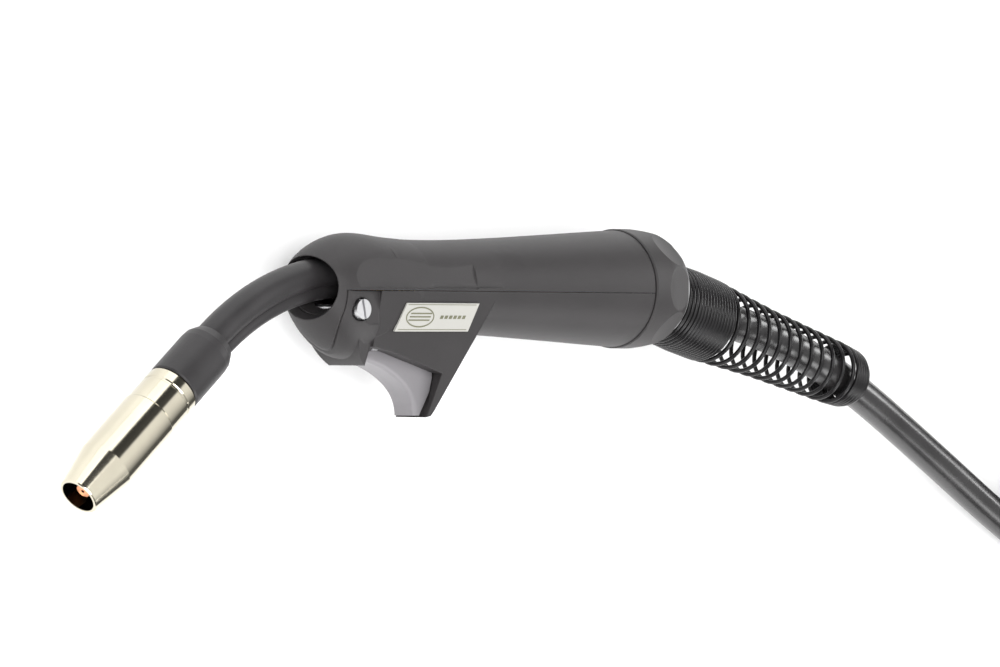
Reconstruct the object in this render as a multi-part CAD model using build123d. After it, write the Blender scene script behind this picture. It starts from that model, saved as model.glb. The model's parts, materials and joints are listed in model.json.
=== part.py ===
from build123d import *
import math
import os

# MIG welding torch lying on its right side, label side up. Millimetres.
# Working frame: X runs from the gas nozzle back to the cable, Y is the torch's own "up"
# (the trigger hangs towards -Y), Z points out of the label side; X axis = handle axis.
# write_parts() shifts everything so that the origin is under the middle of the torch.

# ---- driving dimensions -------------------------------------------------------------
FIT = 0.05                    # radial running clearance
WALL = 2.4                    # handle shell thickness
FLOOR_Z = -20.6               # what the torch lies on
SEAM_Y = -1.6                 # joint between the upper and the lower handle shell
SEAM_GAP = 0.12               # the narrow groove along that joint

BARREL_FRONT, BARREL_REAR = -64.0, 56.8
BARREL_OUTLINE = [(-64, 15.9), (-45, 15.1), (-20, 15.6), (0, 16.6), (30, 18.4), (56.8, 20.0)]
# Head sections: x, middle y, half height, half width
HEAD_SECTIONS = [
    (-92.0, -0.2, 9.4, 11.0),
    (-88.5, -1.1, 13.4, 13.4),
    (-83.5, -2.5, 17.4, 15.4),
    (-76.0, -3.4, 20.1, 16.4),
    (-66.0, -2.4, 18.8, 16.4),
    (-57.0, -0.8, 16.4, 15.9),
    (-49.0, -0.1, 15.2, 15.2),
    (-43.0, 0.0, 14.9, 14.9),
]
# the funnel in the front of the head: x, middle y, half height, half width
FUNNEL_SECTIONS = [(-94.0, -1.5, 10.8, 14.3), (-83.0, 0.9, 8.3, 9.6)]
CHEEK_TOP_Y, CHEEK_TOP_HALF, CHEEK_LOW_HALF = -14.0, 12.6, 7.4

NOZZLE_ANGLE = 39.4           # the nozzle axis falls this steeply below the handle axis
MOUTH = (-188.7, -64.3)       # centre of the nozzle's mouth
NECK_BEND_RADIUS = 93.0
NECK_BEND_END = 72.5          # where the bend starts, measured from the mouth along the axis
BELL_END = 72.3               # rear end of the thick sleeve behind the nozzle
MAIN_LOBE_R, MAIN_LOBE_OFFSET = 5.1, 1.7
GAS_LOBE_R, GAS_LOBE_OFFSET = 2.9, -3.9

NOZZLE_LENGTH, NOZZLE_R, NOZZLE_BORE_R = 50.2, 9.0, 7.75
NOZZLE_CONE, NOZZLE_MOUTH_R, NOZZLE_MOUTH_BORE_R = 14.2, 6.6, 5.6
NOZZLE_BODY, NOZZLE_REAR_R = 36.9, 8.65
TIP_START, TIP_LENGTH, TIP_BORE_R = 2.5, 33.0, 0.6

TRIGGER_PIVOT, TRIGGER_PIN_R = (-68.5, -19.6), 1.25
TRIGGER_TOP_HALF, TRIGGER_LOW_HALF, TRIGGER_EDGE_R = 5.7, 4.6, 1.4
SLOT_HALF_WIDTH = 6.0
SCREW_AT, SCREW_HEAD_R = (-81.3, -7.7), 3.2
PLUNGER_X = -56.0

BALL_X, BALL_R, SUPPORT_NECK_R = 66.0, 15.6, 12.5
SUPPORT_TILT = 14.5           # the cable support leaves the handle at this angle
SUPPORT_WALL = 1.9
CABLE_R = 6.25

COIL_RADII = (52.5, 65.0, 77.5)
COIL_CENTRE = (398.0, -46.7)
COIL_BASE = FLOOR_Z + 0.8
COIL_LAYERS = 2
PLUG_X, PLUG_Z = 504.5, FLOOR_Z + 20.1
PLUG_START = -60.0
NUT_R = 20.0

parts = {}


# ---- helpers ------------------------------------------------------------------------
def turned(profile, axis_plane=Plane.XY):
    """Solid of revolution about local X of a closed (axial, radial) outline."""
    with BuildPart() as made:
        with BuildSketch(axis_plane):
            with BuildLine():
                Polyline(*profile, close=True)
            make_face()
        revolve(axis=Axis(axis_plane.origin, axis_plane.x_dir))
    return made.part


def rod(start, direction, length, radius, bore=0.0):
    """A round bar, or a tube when bore is given, from start along direction."""
    plane = Plane(origin=start, z_dir=direction)
    made = plane * Cylinder(radius, length, align=(Align.CENTER, Align.CENTER, Align.MIN))
    if bore:
        made -= plane * Pos(0, 0, -1) * Cylinder(
            bore, length + 2, align=(Align.CENTER, Align.CENTER, Align.MIN)
        )
    return made


def block(low, high):
    """A box between two corners."""
    size = [b - a for a, b in zip(low, high)]
    return Pos(*low) * Box(*size, align=(Align.MIN, Align.MIN, Align.MIN))


def prism(outline, half_width):
    """An outline in the torch's middle plane, as thick as twice half_width."""
    face = make_face(Polyline(*outline, close=True))
    return extrude(face, half_width, both=True)


# ---- neck and nozzle axis -------------------------------------------------------------
_angle = math.radians(NOZZLE_ANGLE)
AXIS_DIR = Vector(math.cos(_angle), math.sin(_angle), 0)
AXIS_UP = Vector(-math.sin(_angle), math.cos(_angle), 0)


def on_axis(distance, offset=0.0):
    """A point on the nozzle axis, measured from the mouth towards the handle."""
    return Vector(*MOUTH, 0) + AXIS_DIR * distance + AXIS_UP * offset


NOZZLE_PLANE = Plane(origin=on_axis(0), x_dir=AXIS_DIR, z_dir=(0, 0, 1))
BEND_CENTRE = on_axis(NECK_BEND_END) - AXIS_UP * NECK_BEND_RADIUS
NECK_TOP_Y = BEND_CENTRE.Y + NECK_BEND_RADIUS


def neck_path(offset, start, end_x):
    """Line, bend and line of the neck, a fixed offset above its middle."""
    radius = NECK_BEND_RADIUS + offset
    bend_start = on_axis(NECK_BEND_END, offset)
    half = _angle / 2
    bend_middle = BEND_CENTRE + Vector(-math.sin(half), math.cos(half), 0) * radius
    bend_end = BEND_CENTRE + Vector(0, radius, 0)
    path = [
        Line(on_axis(start, offset), bend_start),
        ThreePointArc(bend_start, bend_middle, bend_end),
    ]
    if end_x is not None:
        path.append(Line(bend_end, Vector(end_x, bend_end.Y, 0)))
    return Wire(path)


def pipe(path, radius, bore=0.0):
    """A round tube along a wire that starts along the nozzle axis."""
    plane = Plane(origin=path @ 0, z_dir=path % 0)
    made = sweep(plane * Circle(radius), path=path)
    if bore:
        made -= sweep(plane * Circle(bore), path=path)
    return made


def make_neck():
    """Copper conductor, gas tube, their figure-eight sleeve and the tip end of the neck."""
    parts["neck_tube"] = pipe(neck_path(MAIN_LOBE_OFFSET, 66.7, -66.0), 3.6, 2.2)
    parts["gas_tube"] = pipe(neck_path(GAS_LOBE_OFFSET, 66.7, -66.0), 1.7, 1.1)

    lobes = Pos(MAIN_LOBE_OFFSET, 0) * Circle(MAIN_LOBE_R)
    lobes += Pos(GAS_LOBE_OFFSET, 0) * Circle(GAS_LOBE_R)
    lobes += Pos(-1.9, 0) * Rectangle(3.0, 4.6)
    lobes -= Pos(MAIN_LOBE_OFFSET, 0) * Circle(3.65) + Pos(GAS_LOBE_OFFSET, 0) * Circle(1.75)
    path = neck_path(0.0, BELL_END, -76.0)
    parts["neck_sleeve"] = sweep(Plane(origin=path @ 0, x_dir=AXIS_UP, z_dir=path % 0) * lobes, path=path)

    bell = turned(
        [
            (50.6, 7.4), (50.6, 8.3), (51.2, 8.7), (BELL_END - 5.5, 8.7), (BELL_END - 3.0, 8.4),
            (BELL_END, 7.0), (BELL_END, 0), (66.6, 0), (66.6, 7.4),
        ],
        NOZZLE_PLANE,
    )
    for offset, radius in ((MAIN_LOBE_OFFSET, 3.65), (GAS_LOBE_OFFSET, 1.75)):
        bell -= rod(on_axis(66.0, offset), AXIS_DIR, 20, radius)
    parts["neck_end_sleeve"] = bell

    head = turned(
        [(40.0, 2.2), (40.0, 4.4), (50.9, 4.4), (50.9, 7.3), (66.5, 7.3), (66.5, 2.2)],
        NOZZLE_PLANE,
    )
    parts["neck_head"] = head
    diffuser = turned(
        [(33.0, 3.1), (33.0, 5.2), (34.0, 5.6), (46.0, 5.6), (46.0, 4.45), (39.9, 4.45), (39.9, 3.1)],
        NOZZLE_PLANE,
    )
    for turn in range(4):
        port = Cylinder(0.9, 20)
        diffuser -= NOZZLE_PLANE * Pos(36.6, 0, 0) * Rot(turn * 45, 0, 0) * port
    parts["gas_diffuser"] = diffuser
    tip = turned(
        [
            (TIP_START, TIP_BORE_R), (TIP_START, 2.2), (TIP_START + 4, 3.0), (30.0, 3.0),
            (TIP_START + TIP_LENGTH, 3.0), (TIP_START + TIP_LENGTH, TIP_BORE_R),
        ],
        NOZZLE_PLANE,
    )
    parts["contact_tip"] = tip
    insulator = turned(
        [(40.2, 5.65), (40.2, 7.2), (50.8, 7.2), (50.8, 4.45), (46.1, 4.45), (46.1, 5.65)],
        NOZZLE_PLANE,
    )
    parts["nozzle_insulator"] = insulator
    rings = [
        NOZZLE_PLANE * Pos(place, 0, 0) * Rot(0, 90, 0) * Torus(6.55, 0.5) for place in (36.0, 37.2, 38.4)
    ]
    parts["nozzle_retaining_spring"] = Compound(children=[Solid(r.solid().wrapped) for r in rings])


def make_nozzle():
    """Conical push-on gas nozzle with a stepped rear collar and one turned ring line."""
    cone, body, end = NOZZLE_CONE, NOZZLE_BODY, NOZZLE_LENGTH
    outline = [
        (0, NOZZLE_MOUTH_BORE_R), (0, NOZZLE_MOUTH_R - 0.3), (0.3, NOZZLE_MOUTH_R),
        (cone, NOZZLE_R), (body, NOZZLE_R), (body + 0.5, NOZZLE_REAR_R),
        (end - 4.6, NOZZLE_REAR_R), (end - 4.3, NOZZLE_REAR_R - 0.3),
        (end - 3.7, NOZZLE_REAR_R - 0.3), (end - 3.4, NOZZLE_REAR_R),
        (end - 0.3, NOZZLE_REAR_R), (end, NOZZLE_REAR_R - 0.3),
        (end, 7.25), (40.0, 7.25), (39.0, NOZZLE_BORE_R), (cone + 1.0, NOZZLE_BORE_R),
    ]
    parts["gas_nozzle"] = turned(outline, NOZZLE_PLANE)


# ---- handle ---------------------------------------------------------------------------
def barrel_solid(inset, front, rear):
    """The waisted barrel, made smaller by inset."""
    outline = [(x, r - inset) for x, r in BARREL_OUTLINE]
    with BuildPart() as made:
        with BuildSketch(Plane.XY):
            with BuildLine():
                curve = Spline(*outline)
                Polyline(curve @ 1, (BARREL_REAR, 0), (BARREL_FRONT, 0), curve @ 0)
            make_face()
        revolve(axis=Axis.X)
    return made.part & block((front, -30, -30), (rear, 30, 30))


def head_solid(inset, keep_front):
    """The bulb at the front of the handle, lofted through ellipses."""
    faces = []
    for x, middle, height, width in HEAD_SECTIONS[0 if keep_front else 2:]:
        plane = Plane(origin=(x, middle, 0), x_dir=(0, 0, 1), z_dir=(1, 0, 0))
        faces.append(plane * Ellipse(width - inset, height - inset))
    return loft(faces)


FIN_TOP_HALF, FIN_TIP_HALF = 15.9, 6.7


def wedge(x_from, x_to, stations):
    """A bar along X whose half width changes with y: stations are (y, half width)."""
    left = [(0, y, -half) for y, half in stations]
    right = [(0, y, half) for y, half in reversed(stations)]
    face = make_face(Polyline(*left, *right, close=True))
    return Pos(x_from, 0, 0) * extrude(face, x_to - x_from, dir=(1, 0, 0))


def fin_solid():
    """The wedge under the barrel whose sides lean in towards the trigger."""
    outline = [
        (-73.2, -0.5), (-73.2, -19.6), (-64.4, -21.1), (-38.9, -28.4), (-42.6, -41.6),
        (-43.4, -42.6), (-41.2, -42.2), (-39.8, -40.4), (-24.6, -15.0), (-16.0, -0.5),
    ]
    return prism(outline, 20) & wedge(-80, -10, [(-0.5, FIN_TOP_HALF), (-43, FIN_TIP_HALF)])


def cheek_solid():
    """The ears that hold the trigger pin; they lean in like the fin's sides."""
    rear = -73.2
    outline = Wire([
        Line((-79.6, CHEEK_TOP_Y), (-79.2, -17.0)),
        ThreePointArc((-79.2, -17.0), (-77.0, -21.8), (rear, -25.6)),
        Line((rear, -25.6), (rear, CHEEK_TOP_Y)),
        Line((rear, CHEEK_TOP_Y), (-79.6, CHEEK_TOP_Y)),
    ])
    lean = [(CHEEK_TOP_Y, CHEEK_TOP_HALF), (-27.0, CHEEK_LOW_HALF)]
    return extrude(make_face(outline), 20, both=True) & wedge(-90, -70, lean)


def make_handle():
    """Upper shell with the nose, lower shell with the trigger fin, collar, screw, label."""
    outer = barrel_solid(0, BARREL_FRONT, BARREL_REAR) + head_solid(0, True) + fin_solid() + cheek_solid()
    # the flats on both sides of the head and the sunken strip below them
    for side in (1, -1):
        flat = make_face(Polyline(
            (0, -1.0, 15.55 * side), (0, 9.4, 13.0 * side),
            (0, 9.4, 20 * side), (0, -1.0, 20 * side), close=True
        ))
        outer -= Pos(-94, 0, 0) * extrude(flat, 66, dir=(1, 0, 0))
        strip_low, strip_high = sorted((14.5 * side, 20.0 * side))
        outer -= block((-95, -12.4, strip_low), (-73.2, SEAM_Y, strip_high))

        # behind the cheeks the head is planed down to the fin's leaning sides
        lean = make_face(Polyline(
            (0, SEAM_Y, FIN_TOP_HALF * side), (0, -43, FIN_TIP_HALF * side),
            (0, -43, 30 * side), (0, SEAM_Y, 30 * side), close=True
        ))
        outer -= Pos(-73.2, 0, 0) * extrude(lean, 38, dir=(1, 0, 0))

    inner = barrel_solid(WALL, BARREL_FRONT, BARREL_REAR) + head_solid(WALL, False)
    inner += rod((30, 0, 0), (1, 0, 0), 30, 16.9)
    # the nose is closed below the neck, in front of the trigger
    inner -= block((-90, -30, -30), (-74.2, -7.6, 30))
    slot = prism(
        [(-72.8, -10), (-72.8, -30), (-46.5, -50), (-42.8, -41.0), (-36.6, -28.6),
         (-30.5, -18.0), (-30.5, -10)],
        SLOT_HALF_WIDTH,
    )
    mouth_plane = Plane(origin=(-100, 0.9, 0), x_dir=(0, 0, 1), z_dir=(1, 0, 0))
    mouth = extrude(mouth_plane * Ellipse(9.6, 8.3), 34)
    mouth += loft([
        Plane(origin=(x, middle, 0), x_dir=(0, 0, 1), z_dir=(1, 0, 0)) * Ellipse(width, height)
        for x, middle, height, width in FUNNEL_SECTIONS
    ])
    hollow = outer - inner - slot - mouth
    # the rear neck that the retaining collar grips
    hollow += rod((BARREL_REAR - 2, 0, 0), (1, 0, 0), 9.8, 17.9, 16.9)

    screw_x, screw_y = SCREW_AT
    boss = rod((screw_x, screw_y, -14.4), (0, 0, 1), 28.8, 3.6)
    boss &= outer
    hollow += boss
    hollow -= mouth & block((-120, -30, -9), (-60, 30, 9))
    hollow -= rod((screw_x, screw_y, -20), (0, 0, 1), 40, 1.75)
    for side in (1, -1):
        hollow -= rod((screw_x, screw_y, 12.6 * side), (0, 0, side), 10, 3.75)

    front = make_face(Wire([
        Line((-87.0, 5), (-87.0, -10)), ThreePointArc((-87.0, -10), (-83.6, -18.6), (-74.6, -25.5)),
        Line((-74.6, -25.5), (-74.6, -60)), Line((-74.6, -60), (90, -60)),
        Line((90, -60), (90, 5)), Line((90, 5), (-87.0, 5)),
    ]))
    lower_region = extrude(front, 30, both=True)
    below = block((-130, -70, -40), (130, SEAM_Y - SEAM_GAP, 40))
    parts["handle_shell_lower"] = hollow & lower_region & below
    seam_region = block((-87.3, SEAM_Y - SEAM_GAP, -40), (130, SEAM_Y, 40))
    rim = make_face(Wire([
        Line((-87.3, 6), (-87.3, -10)), ThreePointArc((-87.3, -10), (-83.9, -18.8), (-74.9, -25.8)),
        Line((-74.9, -25.8), (-74.9, -60)), Line((-74.9, -60), (90, -60)),
        Line((90, -60), (90, 6)), Line((90, 6), (-87.3, 6)),
    ]))
    upper_cut = extrude(rim, 30, both=True) & block((-130, -70, -40), (130, SEAM_Y, 40))
    parts["handle_shell_upper"] = hollow - upper_cut

    parts["shell_screw"] = (
        rod((screw_x, screw_y, -12.4), (0, 0, 1), 25.0, 1.65)
        + rod((screw_x, screw_y, 12.6), (0, 0, 1), 3.0, SCREW_HEAD_R)
        - Pos(screw_x, screw_y, 15.2) * Rot(0, 0, 12) * Box(0.9, 8, 1.6)
    )
    nut = Plane(origin=(screw_x, screw_y, -15.0)) * extrude(RegularPolygon(3.3, 6), 2.4)
    parts["shell_nut"] = nut - rod((screw_x, screw_y, -16), (0, 0, 1), 5, 1.75)

    # label plate, laid on the sloping side of the fin
    slope = math.atan2(FIN_TOP_HALF - FIN_TIP_HALF, 42.5)
    at_y = -10.0
    at_z = FIN_TOP_HALF - (-0.5 - at_y) * math.tan(slope)
    outwards = (0, -math.sin(slope), math.cos(slope))
    plane = Plane(origin=(-46.0, at_y, at_z), x_dir=(1, 0, 0), z_dir=outwards)
    corners = [(-19.2, -4.7), (15.4, -4.7), (18.9, 4.6), (-15.2, 4.6)]
    plate = make_face(Polyline(*corners, close=True))
    parts["label_plate"] = plane * extrude(plate, 0.7)


def make_collar():
    """Grip ring that screws over the rear of both shells, domed and scooped for the fingers."""
    with BuildPart() as made:
        with BuildSketch(Plane.XY):
            with BuildLine():
                Line((57.3, 18.05), (57.3, 20.2))
                Line((57.3, 20.2), (57.8, 20.5))
                Line((57.8, 20.5), (66.0, 20.6))
                ThreePointArc((66.0, 20.6), (72.2, 20.05), (76.8, 18.3))
                Polyline(
                    (76.8, 18.3), (76.8, 17.6), (71.6, 17.6), (71.0, 18.3), (65.0, 18.3), (65.0, 18.05),
                    (57.3, 18.05),
                )
            make_face()
        revolve(axis=Axis.X)
    collar = made.part
    # eight shallow scoops, each a large cylinder that crosses the dome
    for turn in range(8):
        collar -= Rot(turn * 45, 0, 0) * Pos(82.3, 0, 77.75) * Rot(90, 0, 0) * Cylinder(60, 60)
    parts["retaining_collar"] = collar


def make_trigger():
    """Concave finger trigger, its pin and return spring, the microswitch and its plunger."""
    curve = Spline((-71.9, -23.9), (-62.7, -26.3), (-54.1, -30.6), (-48.9, -35.4), (-47.0, -42.0))
    back = Polyline(
        (-47.0, -42.0), (-44.4, -42.0), (-39.9, -34.3), (-38.9, -29.6), (-39.4, -25.6),
        (-46.0, -22.2), (-58.0, -19.6), (-63.5, -16.6), (-71.9, -16.6), (-71.9, -23.9),
    )
    outline = Wire([curve, *back.edges()])
    leaning = [(-16.0, TRIGGER_TOP_HALF), (-24.0, TRIGGER_TOP_HALF), (-43.0, TRIGGER_LOW_HALF)]
    sides = wedge(-75, -35, leaning)
    trigger = extrude(make_face(outline), 8, both=True) & sides
    finger_edges = [
        edge for edge in trigger.edges()
        if abs(edge.center().Z) > 4 and edge.geom_type == GeomType.BSPLINE
    ]
    trigger = fillet(finger_edges, TRIGGER_EDGE_R)
    trigger -= rod((*TRIGGER_PIVOT, -8), (0, 0, 1), 16, TRIGGER_PIN_R + FIT)
    trigger -= block((-64.0, -23.4, -3.0), (-60.0, -10.0, 3.0))
    parts["trigger"] = trigger
    parts["trigger_pin"] = rod((*TRIGGER_PIVOT, -8.6), (0, 0, 1), 17.2, TRIGGER_PIN_R)
    parts["trigger_return_spring"] = rod((-62.0, -22.5, 0), (0, 1, 0), 6.9, 1.7, 1.1)
    parts["microswitch"] = block((-60.0, -13.4, -3.2), (-40.0, -6.6, 3.2)) - rod(
        (PLUNGER_X, -20, 0), (0, 1, 0), 9.6, 1.3
    )
    parts["switch_plunger"] = rod((PLUNGER_X, -19.2, 0), (0, 1, 0), 6.4, 1.2)
    terminals = [block((x, -6.6, -0.4), (x + 2.2, -4.4, 0.4)) for x in (-57.0, -45.0)]
    parts["switch_terminals"] = Compound(children=[Solid(t.solid().wrapped) for t in terminals])
    leads = []
    for z in (-8.6, 8.6):
        leads.append(rod((-42.0, -6.0, z), (1, 0, 0), 84, 0.9))
    parts["trigger_leads"] = Compound(children=[Solid(t.solid().wrapped) for t in leads])


def make_core():
    """What carries current and gas through the handle."""
    y = NECK_TOP_Y
    body = block((-66.0, y - 6.4, -5.6), (-47.0, y + 7.2, 5.6))
    body -= rod((-67, y + MAIN_LOBE_OFFSET, 0), (1, 0, 0), 22, 2.6)
    body -= rod((-67, y + GAS_LOBE_OFFSET, 0), (1, 0, 0), 12, 1.2)
    parts["neck_block"] = body
    parts["conductor_tail"] = rod((-47.0, y + MAIN_LOBE_OFFSET - 1.5, 0), (1, 0, 0), 94.0, 4.6, 2.2)
    parts["block_clamp_screws"] = Compound(children=[
        Solid(rod((x, y + 7.2, 0), (0, 1, 0), 2.0, 2.2).solid().wrapped) for x in (-61.0, -52.0)
    ])


# ---- rear swivel and cable support ------------------------------------------------------
_tilt = math.radians(SUPPORT_TILT)
SUPPORT_DIR = Vector(math.cos(_tilt), -math.sin(_tilt), 0)
SUPPORT_PLANE = Plane(origin=(BALL_X, 0, 0), x_dir=SUPPORT_DIR, z_dir=(0, 0, 1))


def on_support(distance, up=0.0, out=0.0):
    """A point on the cable support's axis, measured from the ball's centre."""
    return SUPPORT_PLANE.from_local_coords(Vector(distance, up, out))


def make_swivel():
    """Ball on the cable, and the socket ring that turns in the collar."""
    ring = turned(
        [
            (55.0, 16.85), (64.6, 16.85), (65.2, 16.85), (65.2, 18.2), (70.6, 18.2), (71.2, 17.5),
            (78.0, 17.5), (78.0, 16.9), (71.8, 14.7), (71.8, 10.0), (55.0, 10.0),
        ]
    )
    ring -= Pos(BALL_X, 0, 0) * Sphere(BALL_R + FIT)
    ring -= rod((50, 0, 0), (1, 0, 0), 40, 10.8)
    parts["socket_ring"] = ring

    ball = Pos(BALL_X, 0, 0) * Sphere(BALL_R)
    neck = [
        (0, 0), (0, SUPPORT_NECK_R), (13.6, SUPPORT_NECK_R), (13.6, 10.2), (30.0, 10.2), (30.0, 0),
    ]
    ball += turned(neck, SUPPORT_PLANE)
    bore = CABLE_R + 0.3
    ball -= turned([(-20, 0), (-20, 9.0), (-12, 7.5), (-8, bore), (31, bore), (31, 0)], SUPPORT_PLANE)
    parts["knuckle_ball"] = ball

    outline = [
        (13.8, 12.9), (17.0, 13.4), (23.0, 14.7), (30.0, 15.0), (42.0, 14.9), (63.0, 13.5),
        (76.0, 12.8), (95.0, 12.3), (118.0, 11.7), (126.0, 11.2), (129.5, 10.2),
    ]
    inside = [(station, radius - SUPPORT_WALL) for station, radius in reversed(outline)]
    parts["cable_support_spring"] = turned(outline + inside, SUPPORT_PLANE)


# ---- cable, coil, tie -------------------------------------------------------------------
LEAD_ROUTE = [
    tuple(on_support(14.0)),
    tuple(on_support(34.0, 0.0, 0.1)),
    tuple(on_support(60.0, 3.9)),
    tuple(on_support(92.0, 3.4)),
    tuple(on_support(128.0, -1.0)),
    (250.0, -59.8, -9.0),
    (306.0, -88.0, -14.1),
    (338.0, -103.6, -13.7),
]
TAIL_ROUTE = [
    (398.0, -124.2, FLOOR_Z + 19.6),
    (428.0, -124.6, FLOOR_Z + 17.4),
    (457.0, -119.4, FLOOR_Z + 13.6),
    (482.0, -105.0, FLOOR_Z + 12.0),
    (498.4, -82.0, FLOOR_Z + 14.6),
    (504.5, -56.0, FLOOR_Z + 20.1),
]


def cable_run(route):
    """Round cable along straight runs joined by arcs as large as the runs allow."""
    points = [Vector(*p) for p in route]
    radii = []
    for before, here, after in zip(points, points[1:], points[2:]):
        turn = math.radians((here - before).get_angle(after - here))
        shorter = min((here - before).length, (after - here).length)
        radii.append(0.45 * shorter / math.tan(turn / 2))
    print("cable arc radii:", [round(r, 1) for r in radii])
    path = FilletPolyline(*points, radius=radii)
    plane = Plane(origin=path @ 0, z_dir=path % 0)
    made = sweep(plane * Circle(CABLE_R), path=path)
    print("cable length %.1f, volume ratio %.4f"
          % (path.length, made.volume / (math.pi * CABLE_R**2 * path.length)))
    return made


def make_cable():
    """Cable to the coil, the coil as one ring, its tie, and the tail to the plug."""
    parts["torch_cable"] = cable_run(LEAD_ROUTE)
    parts["cable_tail"] = cable_run(TAIL_ROUTE)
    inner = COIL_RADII[0] - CABLE_R
    outer = COIL_RADII[-1] + CABLE_R
    height = 2 * CABLE_R * COIL_LAYERS
    centre = (*COIL_CENTRE, COIL_BASE)
    parts["cable_coil"] = rod(centre, (0, 0, 1), height, outer, inner)
    band, wide = 0.8, 7.0
    low = (COIL_CENTRE[0] + inner - 1.4, COIL_CENTRE[1] - wide, FLOOR_Z)
    high = (COIL_CENTRE[0] + outer + 1.0, COIL_CENTRE[1] + wide, COIL_BASE + height + band)
    hole_low = (low[0] + band, low[1] - 1, COIL_BASE)
    hole_high = (high[0] - band, high[1] + 1, COIL_BASE + height)
    parts["coil_tie"] = block(low, high) - block(hole_low, hole_high)


# ---- plug -------------------------------------------------------------------------------
def make_plug():
    """Central-connector plug: boot, housing, hand nut, brass body, pins and gas nipple."""
    plane = Plane(origin=(PLUG_X, PLUG_START, PLUG_Z), x_dir=(0, 1, 0), z_dir=(0, 0, 1))
    bore = CABLE_R + 0.05
    parts["plug_boot"] = turned([(0, bore), (0, 7.6), (3, 8.4), (30, 11.5), (30, bore)], plane)
    parts["plug_housing"] = turned(
        [(26, 11.7), (26, 13.4), (30, 15.0), (62, 15.6), (62, 12.3), (30.2, 12.3), (30.2, 11.7)], plane
    )
    brass = turned(
        [
            (30.2, 0), (30.2, 12.2), (62.2, 12.2), (62.2, 14.8), (65.0, 14.8), (65.0, 12.0),
            (84.0, 12.0), (84.0, 0),
        ],
        plane,
    )
    pin_spots = [(6.5, -6.5), (-6.5, -6.5)]
    for across, up in pin_spots:
        brass -= plane * Pos(60, across, up) * Rot(0, 90, 0) * Cylinder(1.7, 60)
    parts["plug_body"] = brass
    parts["power_pin"] = rod(plane.from_local_coords(Vector(84.0, 0, 0)), (0, 1, 0), 14.0, 4.0, 1.6)
    nipple = rod(plane.from_local_coords(Vector(84.0, 0, 8.6)), (0, 1, 0), 9.0, 2.0, 0.9)
    parts["gas_nipple"] = nipple
    ring_at = plane.from_local_coords(Vector(89.5, 0, 8.6))
    parts["gas_nipple_seal"] = Plane(origin=ring_at, z_dir=(0, 1, 0)) * Torus(2.5, 0.5)
    pins = []
    for across, up in pin_spots:
        start = plane.from_local_coords(Vector(74.0, across, up))
        pins.append(Solid(rod(start, (0, 1, 0), 17.0, 1.6).solid().wrapped))
    parts["control_pins"] = Compound(children=pins)
    nut = turned(
        [(65.3, 12.1), (65.3, 18.6), (67.0, NUT_R), (80.0, NUT_R), (81.5, 18.8), (81.5, 12.1)], plane
    )
    groove = Pos(73, 0, NUT_R + 2.2) * Rot(0, 90, 0) * Cylinder(3.4, 30)
    for turn in range(12):
        nut -= plane * Rot(turn * 30 + 15, 0, 0) * groove
    parts["hand_nut"] = nut


CORD_NODES = {
    "cable_support_spring", "torch_cable", "cable_coil", "coil_tie", "cable_tail", "plug_boot",
    "plug_housing", "plug_body", "power_pin", "gas_nipple", "gas_nipple_seal", "control_pins",
    "hand_nut",
}


def write_parts():
    """Moves the origin under the middle of the torch itself and writes one STEP per node."""
    boxes = [shape.bounding_box() for name, shape in parts.items() if name not in CORD_NODES]
    low = [min(getattr(b.min, k) for b in boxes) for k in "XYZ"]
    high = [max(getattr(b.max, k) for b in boxes) for k in "XYZ"]
    shift = (-(low[0] + high[0]) / 2, -(low[1] + high[1]) / 2, -low[2])
    print("shift", [round(s, 4) for s in shift], "size", [round(b - a, 2) for a, b in zip(low, high)])
    os.makedirs("parts", exist_ok=True)
    for name, shape in parts.items():
        export_step(Pos(*shift) * shape, f"parts/{name}.step")


make_neck()
make_nozzle()
make_handle()
make_collar()
make_trigger()
make_core()
make_swivel()
make_cable()
make_plug()
write_parts()
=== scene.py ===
import json
import math

import bmesh
import bpy
from mathutils import Matrix, Vector


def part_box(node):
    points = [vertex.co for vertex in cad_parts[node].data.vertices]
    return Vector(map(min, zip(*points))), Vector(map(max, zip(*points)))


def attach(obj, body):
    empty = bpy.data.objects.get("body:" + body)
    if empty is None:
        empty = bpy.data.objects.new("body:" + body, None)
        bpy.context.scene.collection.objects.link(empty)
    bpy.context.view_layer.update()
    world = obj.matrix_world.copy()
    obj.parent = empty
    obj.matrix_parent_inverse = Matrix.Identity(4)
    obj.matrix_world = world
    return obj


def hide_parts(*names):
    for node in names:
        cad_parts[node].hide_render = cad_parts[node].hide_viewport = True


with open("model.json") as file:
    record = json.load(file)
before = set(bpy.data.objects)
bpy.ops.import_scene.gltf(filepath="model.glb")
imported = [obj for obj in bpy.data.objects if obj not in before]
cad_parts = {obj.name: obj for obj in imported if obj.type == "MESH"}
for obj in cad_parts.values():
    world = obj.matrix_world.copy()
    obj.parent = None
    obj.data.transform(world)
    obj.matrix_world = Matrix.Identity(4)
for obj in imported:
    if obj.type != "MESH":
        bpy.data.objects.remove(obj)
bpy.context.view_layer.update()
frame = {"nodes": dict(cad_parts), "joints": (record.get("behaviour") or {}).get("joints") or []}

NODES = frame["nodes"]
JOINTS = {joint["name"]: joint for joint in frame["joints"]}

# ---- places ----------------------------------------------------------------------------
# Torch coordinates, in metres: X from the nozzle to the cable along the handle axis, Y the
# torch's own up, Z out of the label side. The ball's centre is at BALL_X on that axis.
BALL_X = 0.066
ORIGIN = Vector(JOINTS["support_tilt"]["pos_m"]) - Vector((BALL_X, 0, 0))
FLOOR_Z = -0.0206


def at(x, y, z=0.0):
    """A point given in torch coordinates, in the row frame."""
    return ORIGIN + Vector((x, y, z))


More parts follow.
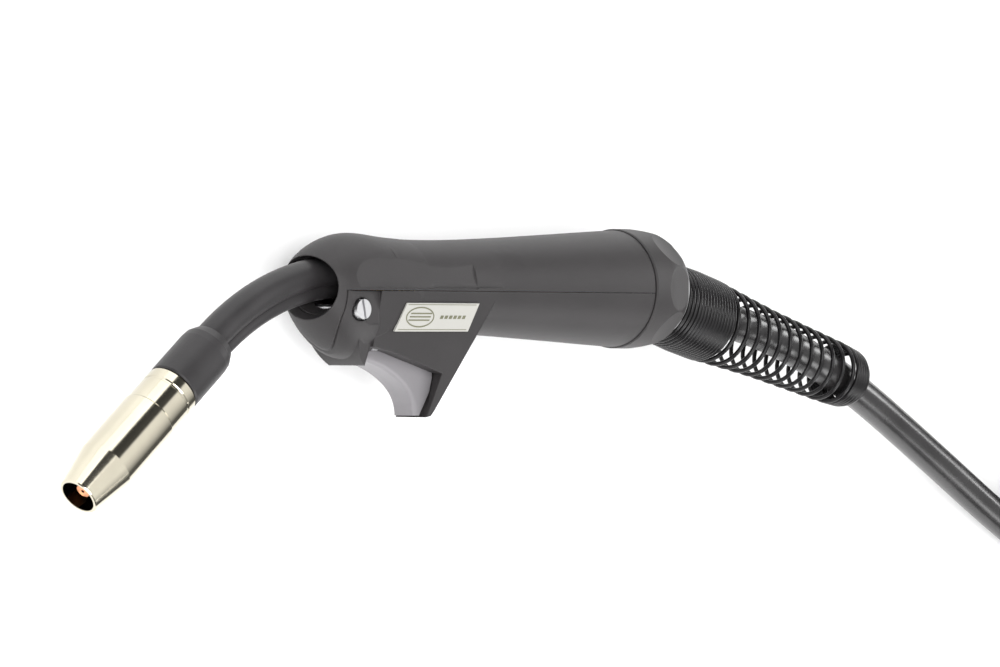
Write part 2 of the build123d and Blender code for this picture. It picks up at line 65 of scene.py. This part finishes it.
SUPPORT_TILT = math.radians(14.5)
SUPPORT_DIR = Vector((math.cos(SUPPORT_TILT), -math.sin(SUPPORT_TILT), 0))
SUPPORT_UP = Vector((math.sin(SUPPORT_TILT), math.cos(SUPPORT_TILT), 0))
SIDE = Vector((0, 0, 1))


# ---- camera ----------------------------------------------------------------------------
def make_camera():
    """Looks down on the lying torch from its nozzle end, with the torch's up at the top."""
    # low is how far under the handle's axis the camera is aimed
    distance, azimuth, low = 1.400, math.radians(47.947), 0.01538
    sensor, focal_ratio = 36.0, 4.2064
    data = bpy.data.cameras.new("camera")
    camera = bpy.data.objects.new("camera", data)
    bpy.context.scene.collection.objects.link(camera)
    back = Vector((-math.sin(azimuth), 0, math.cos(azimuth)))
    up = Vector((0, 1, 0))
    right = up.cross(back)
    turn = Matrix((right, up, back)).transposed().to_4x4()
    camera.matrix_world = Matrix.Translation(at(0, -low, 0) + back * distance) @ turn
    data.sensor_width = sensor
    data.lens = sensor * focal_ratio
    data.clip_start, data.clip_end = 0.05, 20.0
    bpy.context.scene.camera = camera


make_camera()


# ---- material helpers --------------------------------------------------------------------
def new_material(name):
    """A material with its node tree and its shader."""
    material = bpy.data.materials.new(name)
    material.use_nodes = True
    tree = material.node_tree
    shader = tree.nodes["Principled BSDF"]
    return material, tree, shader


def node(tree, kind, **values):
    """A node with its inputs or properties set."""
    made = tree.nodes.new(kind)
    for key, value in values.items():
        if key in made.inputs:
            made.inputs[key].default_value = value
        else:
            setattr(made, key, value)
    return made


def noise_at(tree, scale, detail=3.0, roughness=0.55):
    """Noise in the piece's own coordinates."""
    place = node(tree, "ShaderNodeTexCoord")
    made = node(tree, "ShaderNodeTexNoise", Scale=scale, Detail=detail, Roughness=roughness)
    tree.links.new(place.outputs["Object"], made.inputs["Vector"])
    return made.outputs["Fac"]


def ramp(tree, value, low, high, color_low, color_high):
    """A blend from one colour to another between two values."""
    made = node(tree, "ShaderNodeValToRGB")
    made.color_ramp.elements[0].position = low
    made.color_ramp.elements[1].position = high
    made.color_ramp.elements[0].color = (*color_low, 1)
    made.color_ramp.elements[1].color = (*color_high, 1)
    tree.links.new(value, made.inputs["Fac"])
    return made.outputs["Color"]


def remap(tree, value, low, high):
    """A value from 0 to 1 spread over low to high."""
    made = node(tree, "ShaderNodeMapRange")
    made.inputs["To Min"].default_value = low
    made.inputs["To Max"].default_value = high
    tree.links.new(value, made.inputs["Value"])
    return made.outputs["Result"]


def add_bump(tree, shader, height, strength, distance):
    """Bump from a height value, linked to the shader's normal."""
    made = node(tree, "ShaderNodeBump", Strength=strength, Distance=distance)
    tree.links.new(height, made.inputs["Height"])
    tree.links.new(made.outputs["Normal"], shader.inputs["Normal"])


def scaled(color, factor):
    """A colour made lighter or darker, never above 1."""
    return tuple(min(1.0, c * factor) for c in color)


def round_edges(tree, shader, radius):
    """Softens the shading over moulded edges of this radius."""
    if radius:
        bevel = node(tree, "ShaderNodeBevel", samples=6, Radius=radius)
        bump = shader.inputs["Normal"].links[0].from_node
        tree.links.new(bevel.outputs["Normal"], bump.inputs["Normal"])


def moulded(name, color, rough, grain=3200.0, bump=0.25, mottle=0.12, edge=0.0, gloss=0.33):
    """Moulded plastic or rubber: fine grain, slightly uneven colour and gloss."""
    material, tree, shader = new_material(name)
    broad = noise_at(tree, 38.0, 4.0)
    tree.links.new(
        ramp(tree, broad, 0.3, 0.7, scaled(color, 1 - mottle), scaled(color, 1 + mottle)),
        shader.inputs["Base Color"],
    )
    fine = noise_at(tree, grain, 2.0)
    tree.links.new(remap(tree, broad, rough - 0.05, rough + 0.06), shader.inputs["Roughness"])
    add_bump(tree, shader, fine, bump, 0.00012)
    round_edges(tree, shader, edge)
    shader.inputs["Specular IOR Level"].default_value = gloss
    return material


def metal(name, color, rough, scratch=900.0, bump=0.05, stain=0.1):
    """Bare or plated metal: uneven tone, fine scratches."""
    material, tree, shader = new_material(name)
    broad = noise_at(tree, 60.0, 5.0)
    tree.links.new(
        ramp(tree, broad, 0.3, 0.75, scaled(color, 1 - stain), scaled(color, 1 + stain / 2)),
        shader.inputs["Base Color"],
    )
    shader.inputs["Metallic"].default_value = 1.0
    fine = noise_at(tree, scratch, 6.0, 0.7)
    tree.links.new(remap(tree, fine, rough * 0.7, rough * 1.5), shader.inputs["Roughness"])
    add_bump(tree, shader, fine, bump, 0.0001)
    return material


HANDLE = moulded(
    "handle_plastic", (0.0225, 0.0205, 0.0212), 0.50, grain=2600.0, bump=0.35, edge=0.0006,
)
TRIGGER = moulded(
    "trigger_plastic", (0.185, 0.178, 0.187), 0.42, grain=3000.0, bump=0.2, mottle=0.05, edge=0.0005,
)
RING = moulded("ring_plastic", (0.24, 0.24, 0.245), 0.35, mottle=0.05)
BLACK = moulded("black_plastic", (0.020, 0.020, 0.021), 0.40)
SLEEVE = moulded(
    "sleeve_rubber", (0.020, 0.0185, 0.0195), 0.45, grain=1500.0, bump=0.3, mottle=0.25,
)
CABLE = moulded(
    "cable_rubber", (0.016, 0.015, 0.0155), 0.26, grain=1200.0, bump=0.12, mottle=0.3, gloss=0.5,
)
SPRING = moulded(
    "spring_paint", (0.006, 0.0055, 0.006), 0.24, grain=1800.0, bump=0.1, mottle=0.3, gloss=0.25,
)
CERAMIC = moulded("insulator", (0.62, 0.55, 0.45), 0.5)
LEAD = moulded("lead_red", (0.35, 0.03, 0.02), 0.4)
LABEL = moulded("label_film", (0.375, 0.370, 0.345), 0.35, grain=900.0, bump=0.05, mottle=0.03)
PRINT = moulded("label_print", (0.14, 0.14, 0.09), 0.45, mottle=0.2)
TIE = moulded("tie_weave", (0.03, 0.03, 0.034), 0.85, grain=900.0, bump=0.8, mottle=0.3)
STEEL = metal("zinc_steel", (0.62, 0.62, 0.63), 0.28)
BRASS = metal("brass", (0.70, 0.50, 0.22), 0.25)
COPPER = metal("copper", (0.72, 0.33, 0.18), 0.30)
NICKEL = metal("nickel_plate", (0.52, 0.485, 0.39), 0.11, stain=0.08)

NODE_MATERIALS = {
    "neck_tube": COPPER, "gas_tube": COPPER, "neck_sleeve": SLEEVE, "neck_end_sleeve": SLEEVE,
    "neck_head": BRASS, "gas_diffuser": BRASS, "contact_tip": COPPER, "nozzle_insulator": CERAMIC,
    "nozzle_retaining_spring": STEEL, "gas_nozzle": NICKEL, "handle_shell_upper": HANDLE,
    "handle_shell_lower": HANDLE, "retaining_collar": HANDLE, "shell_screw": STEEL,
    "shell_nut": STEEL, "label_plate": LABEL, "trigger": TRIGGER, "trigger_pin": STEEL,
    "trigger_return_spring": STEEL, "microswitch": BLACK, "switch_plunger": LEAD,
    "switch_terminals": BRASS, "trigger_leads": LEAD, "neck_block": BRASS,
    "conductor_tail": COPPER, "block_clamp_screws": STEEL, "socket_ring": RING,
    "knuckle_ball": BLACK, "plug_boot": SLEEVE, "plug_housing": BLACK, "plug_body": BRASS,
    "power_pin": BRASS, "gas_nipple": BRASS, "gas_nipple_seal": SLEEVE, "control_pins": BRASS,
    "hand_nut": BLACK,
}


def paint(obj, material):
    """Gives an object this one material."""
    obj.data.materials.clear()
    obj.data.materials.append(material)


def place_piece(name, mesh, material, body):
    """Links a finished mesh, paints it and lets it ride on a body."""
    piece = bpy.data.objects.new(name, mesh)
    bpy.context.scene.collection.objects.link(piece)
    paint(piece, material)
    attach(piece, body)
    return piece


# ---- cable -------------------------------------------------------------------------------
CABLE_DIAMETER = 0.0125


def on_support(distance, up=0.0, out=0.0):
    """Torch coordinates of a point on the cable support, measured from the ball's centre."""
    return tuple(Vector((BALL_X, 0, 0)) + SUPPORT_DIR * distance + SUPPORT_UP * up + SIDE * out)


LEAD_ROUTE = [
    on_support(0.014),
    on_support(0.034, 0, 0.0001),
    on_support(0.060, 0.0039),
    on_support(0.092, 0.0034),
    on_support(0.128, -0.0010),
    (0.2500, -0.0598, -0.0090),
    (0.3060, -0.0880, -0.0141),
    (0.3380, -0.1036, -0.0137),
]
TAIL_ROUTE = [
    (0.4280, -0.1246, FLOOR_Z + 0.0174),
    (0.4570, -0.1194, FLOOR_Z + 0.0136),
    (0.4820, -0.1050, FLOOR_Z + 0.0120),
    (0.4984, -0.0820, FLOOR_Z + 0.0146),
    (0.5045, -0.0560, FLOOR_Z + 0.0201),
]
COIL_CENTRE = (0.398, -0.0467)
COIL_RADII = (0.0775, 0.065, 0.0525, 0.065, 0.0775)
COIL_STEPS = (0.925, 1.925, 3.575, 4.575)   # turns after which the radius changes
COIL_STEP_HALF = 0.075        # half of the share of a turn that a change takes
COIL_CLIMB = (2.70, 2.85)     # turns between which the cable climbs to the upper layer
COIL_TURNS = 5.0736
COIL_START_ANGLE = math.radians(-116.5)
COIL_BASE = FLOOR_Z + 0.0008


def smooth_step(value, low, high):
    """Runs smoothly from 0 to 1 while the value goes from low to high."""
    share = min(1.0, max(0.0, (value - low) / (high - low)))
    return share * share * (3 - 2 * share)


def coil_points():
    """Turns in six slots: three side by side, then three more on top of them."""
    points = []
    per_turn = 18
    count = round(COIL_TURNS * per_turn)
    for index in range(count + 1):
        turns = COIL_TURNS * index / count
        radius = COIL_RADII[0]
        for step, (before, after) in zip(COIL_STEPS, zip(COIL_RADII, COIL_RADII[1:])):
            radius += (after - before) * smooth_step(
                turns, step - COIL_STEP_HALF, step + COIL_STEP_HALF
            )
        up = CABLE_DIAMETER * (0.5 + smooth_step(turns, *COIL_CLIMB))
        # a spline's control points stand a little outside the circle that it draws
        radius /= 1 - (math.pi / per_turn) ** 2 / 2 * 0.75
        angle = COIL_START_ANGLE + 2 * math.pi * turns
        points.append((
            COIL_CENTRE[0] + radius * math.cos(angle),
            COIL_CENTRE[1] + radius * math.sin(angle),
            COIL_BASE + up,
        ))
    return points


def make_cable():
    """The whole cable as one curve, from the ball to the plug."""
    curve = bpy.data.curves.new("cable", "CURVE")
    curve.dimensions = "3D"
    curve.bevel_depth = CABLE_DIAMETER / 2
    curve.bevel_resolution = 6
    curve.resolution_u = 10
    curve.use_fill_caps = True
    route = LEAD_ROUTE + coil_points() + TAIL_ROUTE
    spline = curve.splines.new("NURBS")
    spline.points.add(len(route) - 1)
    for point, place in zip(spline.points, route):
        point.co = (*at(*place), 1)
    spline.order_u = 3
    spline.use_endpoint_u = True
    piece = bpy.data.objects.new("cable", curve)
    bpy.context.scene.collection.objects.link(piece)
    paint(piece, CABLE)
    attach(piece, "cable_assembly")
    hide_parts("torch_cable", "cable_coil", "cable_tail")
    return piece


CABLE_PIECE = make_cable()


# ---- cable support spring ------------------------------------------------------------------
def wire_mesh(name, points, radius, sides=10):
    """A round wire along closely spaced points, capped at both ends."""
    mesh = bmesh.new()
    rings = []
    side = None
    for index, point in enumerate(points):
        ahead = points[min(index + 1, len(points) - 1)]
        behind = points[max(index - 1, 0)]
        along = (ahead - behind).normalized()
        if side is None:
            side = along.orthogonal()
        side = (side - along * side.dot(along)).normalized()
        other = along.cross(side)
        ring = []
        for step in range(sides):
            angle = 2 * math.pi * step / sides
            outwards = side * math.cos(angle) + other * math.sin(angle)
            ring.append(mesh.verts.new(point + outwards * radius))
        rings.append(ring)
    for one, two in zip(rings, rings[1:]):
        for step in range(sides):
            after = (step + 1) % sides
            mesh.faces.new((one[step], one[after], two[after], two[step]))
    mesh.faces.new(list(reversed(rings[0])))
    mesh.faces.new(rings[-1])
    for face in mesh.faces:
        face.smooth = True
    data = bpy.data.meshes.new(name)
    mesh.to_mesh(data)
    mesh.free()
    return data


def make_support_spring():
    """Close-wound at the ball, open in the middle, and closed down on the cable at its end."""
    wire = 0.00078
    close, open_pitch = wire * 2.02, 0.0066
    # distance from the ball's centre, outside radius, pitch
    stations = [
        (0.0147, 0.0129, close), (0.0170, 0.0134, close), (0.0230, 0.0147, close),
        (0.0300, 0.0150, close), (0.0420, 0.0149, close), (0.0460, 0.0146, open_pitch),
        (0.0630, 0.0135, open_pitch), (0.0760, 0.0128, open_pitch), (0.0950, 0.0123, open_pitch),
        (0.1160, 0.0118, open_pitch), (0.1200, 0.0115, close), (0.1260, 0.0111, close),
        (0.1290, 0.0095, close),
    ]
    points = []
    distance, angle = stations[0][0], 0.0
    steps_per_turn = 40
    while distance < stations[-1][0]:
        for low, high in zip(stations, stations[1:]):
            if low[0] <= distance <= high[0]:
                share = (distance - low[0]) / (high[0] - low[0])
                radius = low[1] + (high[1] - low[1]) * share
                pitch = low[2] + (high[2] - low[2]) * share
                break
        radial = SUPPORT_UP * math.cos(angle) + SIDE * math.sin(angle)
        points.append(at(BALL_X, 0) + SUPPORT_DIR * distance + radial * (radius - wire))
        angle += 2 * math.pi / steps_per_turn
        distance += pitch / steps_per_turn
    mesh = wire_mesh("support_spring", points, wire)
    piece = place_piece("support_spring", mesh, SPRING, "cable_assembly")
    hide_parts("cable_support_spring")
    return piece


SUPPORT_SPRING = make_support_spring()


# ---- coil tie --------------------------------------------------------------------------------
TIE_WIDTH, TIE_THICK = 0.014, 0.0008


def add_strap(mesh, inside, outside, closed):
    """A flat band between two (x, z) lines, as wide as TIE_WIDTH across the coil's section."""
    rows = []
    for line, side in ((inside, -1), (inside, 1), (outside, 1), (outside, -1)):
        y = COIL_CENTRE[1] + side * TIE_WIDTH / 2
        rows.append([mesh.verts.new(at(x, y, z)) for x, z in line])
    count = len(inside)
    for one, two in zip(rows, rows[1:] + rows[:1]):
        for k in range(count if closed else count - 1):
            n = (k + 1) % count
            mesh.faces.new((one[k], one[n], two[n], two[k]))
    if not closed:
        mesh.faces.new([row[0] for row in rows])
        mesh.faces.new([row[-1] for row in rows])


def make_coil_tie():
    """A woven strap round the coil's section, its free end lapped over the outer side."""
    mesh = bmesh.new()
    # the strap's inner faces, just clear of the coil's inner and outer turns
    low_x, high_x = COIL_CENTRE[0] + 0.04565, COIL_CENTRE[0] + 0.08395
    low_z, high_z = COIL_BASE, COIL_BASE + 2 * CABLE_DIAMETER
    corner = 0.0055
    middles = [
        (high_x - corner, high_z - corner), (low_x + corner, high_z - corner),
        (low_x + corner, low_z + corner), (high_x - corner, low_z + corner),
    ]

    def arcs(grow, corners):
        """Quarter circles of the rounded loop, grown outwards."""
        points = []
        for index in corners:
            x, z = middles[index]
            for step in range(9):
                angle = math.radians(90 * index + 90 * step / 8)
                radius = corner + grow
                points.append((x + radius * math.cos(angle), z + radius * math.sin(angle)))
        return points

    def flap(grow):
        """The lapped end: up the outer side, over the corner and along the top."""
        start, end = (high_x + grow, low_z + 0.009), (high_x - 0.020, high_z + grow)
        return [start] + arcs(grow, (0,)) + [end]

    add_strap(mesh, arcs(0, range(4)), arcs(TIE_THICK, range(4)), True)
    add_strap(mesh, flap(TIE_THICK), flap(2 * TIE_THICK), False)
    bmesh.ops.recalc_face_normals(mesh, faces=mesh.faces)
    data = bpy.data.meshes.new("coil_strap")
    mesh.to_mesh(data)
    mesh.free()
    piece = place_piece("coil_strap", data, TIE, "cable_assembly")
    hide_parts("coil_tie")
    return piece


COIL_STRAP = make_coil_tie()

# ---- CAD nodes -----------------------------------------------------------------------------
for name, material in NODE_MATERIALS.items():
    paint(NODES[name], material)


# ---- label print ---------------------------------------------------------------------------
def make_label_print():
    """A frame, a ring with bars across it and a row of short bars, printed on the label."""
    low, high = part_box("label_plate")
    centre = (Vector(low) + Vector(high)) / 2
    # the fin's half width falls from 15.9 to 6.7 mm over 42.5 mm of its height
    lean = math.atan2(0.0159 - 0.0067, 0.0425)
    up = Vector((0, math.cos(lean), math.sin(lean)))
    out = Vector((0, -math.sin(lean), math.cos(lean)))
    across = Vector((1, 0, 0))
    slant = 0.375
    half_high, lift, print_thick = 0.00465, 0.00002, 0.00006
    # the middle of the label's outer face
    face = Vector((centre.x, centre.y, 0)) + SIDE * (high[2] - half_high * math.sin(lean) + lift)
    mesh = bmesh.new()

    def bar(x, y, length, height):
        """A slanted bar round a point of the label."""
        corners = []
        for u, v in ((-1, -1), (1, -1), (1, 1), (-1, 1)):
            rise = y + v * height / 2
            corners.append(face + across * (x + u * length / 2 + rise * slant) + up * rise)
        lower = [mesh.verts.new(c) for c in corners]
        upper = [mesh.verts.new(c + out * print_thick) for c in corners]
        mesh.faces.new(lower[::-1])
        mesh.faces.new(upper)
        for k in range(4):
            n = (k + 1) % 4
            mesh.faces.new((lower[k], lower[n], upper[n], upper[k]))

    def ring(x, half_wide, half_tall, thick):
        """A flat oval ring round a point of the label's middle line."""
        count = 40
        loops = []
        for inset, rise in ((0, 0.0), (0, print_thick), (thick, print_thick), (thick, 0.0)):
            wide, tall = half_wide - inset, half_tall - inset
            loop = []
            for k in range(count):
                angle = 2 * math.pi * k / count
                place = face + across * (x + wide * math.cos(angle))
                loop.append(mesh.verts.new(place + up * tall * math.sin(angle) + out * rise))
            loops.append(loop)
        for one, two in zip(loops, loops[1:] + loops[:1]):
            for k in range(count):
                n = (k + 1) % count
                mesh.faces.new((one[k], one[n], two[n], two[k]))

    ring(-0.0082, 0.0066, 0.0034, 0.00045)
    for rise in (-0.0010, 0.0001, 0.0012):
        bar(-0.0082, rise, 0.0098, 0.00045)
    for index in range(6):
        bar(0.0020 + index * 0.0021, 0.0, 0.0014, 0.0011)
    for rise in (-0.0041, 0.0041):
        bar(0.0, rise, 0.0322, 0.00018)
    bmesh.ops.recalc_face_normals(mesh, faces=mesh.faces)
    data = bpy.data.meshes.new("label_print")
    mesh.to_mesh(data)
    mesh.free()
    place_piece("label_print", data, PRINT, "handle")


make_label_print()


# ---- floor and light -------------------------------------------------------------------------
def make_floor():
    """The white table that the torch lies on."""
    data = bpy.data.meshes.new("floor")
    half = 3.0
    corners = [(-half, -half, 0), (half, -half, 0), (half, half, 0), (-half, half, 0)]
    data.from_pydata(corners, [], [(0, 1, 2, 3)])
    floor = bpy.data.objects.new("floor", data)
    bpy.context.scene.collection.objects.link(floor)
    material, tree, shader = new_material("floor_white")
    shader.inputs["Base Color"].default_value = (0.93, 0.93, 0.93, 1)
    shader.inputs["Roughness"].default_value = 0.9
    paint(floor, material)


def make_light(name, place, target, size, power):
    """A rectangular softbox that faces its target."""
    data = bpy.data.lights.new(name, "AREA")
    data.shape = "RECTANGLE"
    data.size, data.size_y = size
    data.energy = power
    light = bpy.data.objects.new(name, data)
    bpy.context.scene.collection.objects.link(light)
    light.location = place
    light.rotation_euler = (Vector(place) - Vector(target)).to_track_quat("Z", "Y").to_euler()


def make_world():
    """Brighter overhead than at the horizon, as reflections show it."""
    world = bpy.data.worlds.new("studio")
    world.use_nodes = True
    tree = world.node_tree
    place = node(tree, "ShaderNodeTexCoord")
    split = node(tree, "ShaderNodeSeparateXYZ")
    tree.links.new(place.outputs["Generated"], split.inputs["Vector"])
    sky = ramp(tree, split.outputs["Z"], 0.30, 0.85, (0.10, 0.10, 0.10), (1, 1, 1))
    # two dark patches overhead: the streak along the nozzle and its wider end on the cone
    nearness = node(tree, "ShaderNodeMath", operation="MAXIMUM")
    for index, direction in enumerate(((0.24, 0.66, 0.71), (-0.18, 0.70, 0.69))):
        towards = node(tree, "ShaderNodeVectorMath", operation="DOT_PRODUCT")
        towards.inputs[1].default_value = direction
        tree.links.new(place.outputs["Generated"], towards.inputs[0])
        tree.links.new(towards.outputs["Value"], nearness.inputs[index])
    patch = ramp(tree, nearness.outputs["Value"], 0.945, 0.97, (1, 1, 1), (0.06, 0.06, 0.06))
    both = node(tree, "ShaderNodeMixRGB", blend_type="MULTIPLY", Fac=1.0)
    tree.links.new(sky, both.inputs["Color1"])
    tree.links.new(patch, both.inputs["Color2"])
    tree.links.new(both.outputs["Color"], tree.nodes["Background"].inputs["Color"])
    tree.nodes["Background"].inputs["Strength"].default_value = 1.5
    bpy.context.scene.world = world


make_floor()
make_world()
make_light("top_softbox", (-0.75, 0.45, 1.15), (0.05, 0, 0.02), (0.6, 0.8), 9)
make_light("far_card", (0.1, 1.4, 0.48), (0.1, 0, 0.48), (2.4, 0.95), 16)
make_light("end_card", (1.47, 0.30, 0.60), (0.2, 0, 0.02), (0.7, 0.35), 7)
make_light("front_softbox", (-1.1, -0.7, 0.8), (0.0, 0, 0.02), (0.9, 0.5), 14)
make_light("low_softbox", (0.5, -1.1, 0.7), (0.1, 0, 0.02), (1.2, 0.5), 12)
bpy.context.scene.view_settings.view_transform = "Standard"
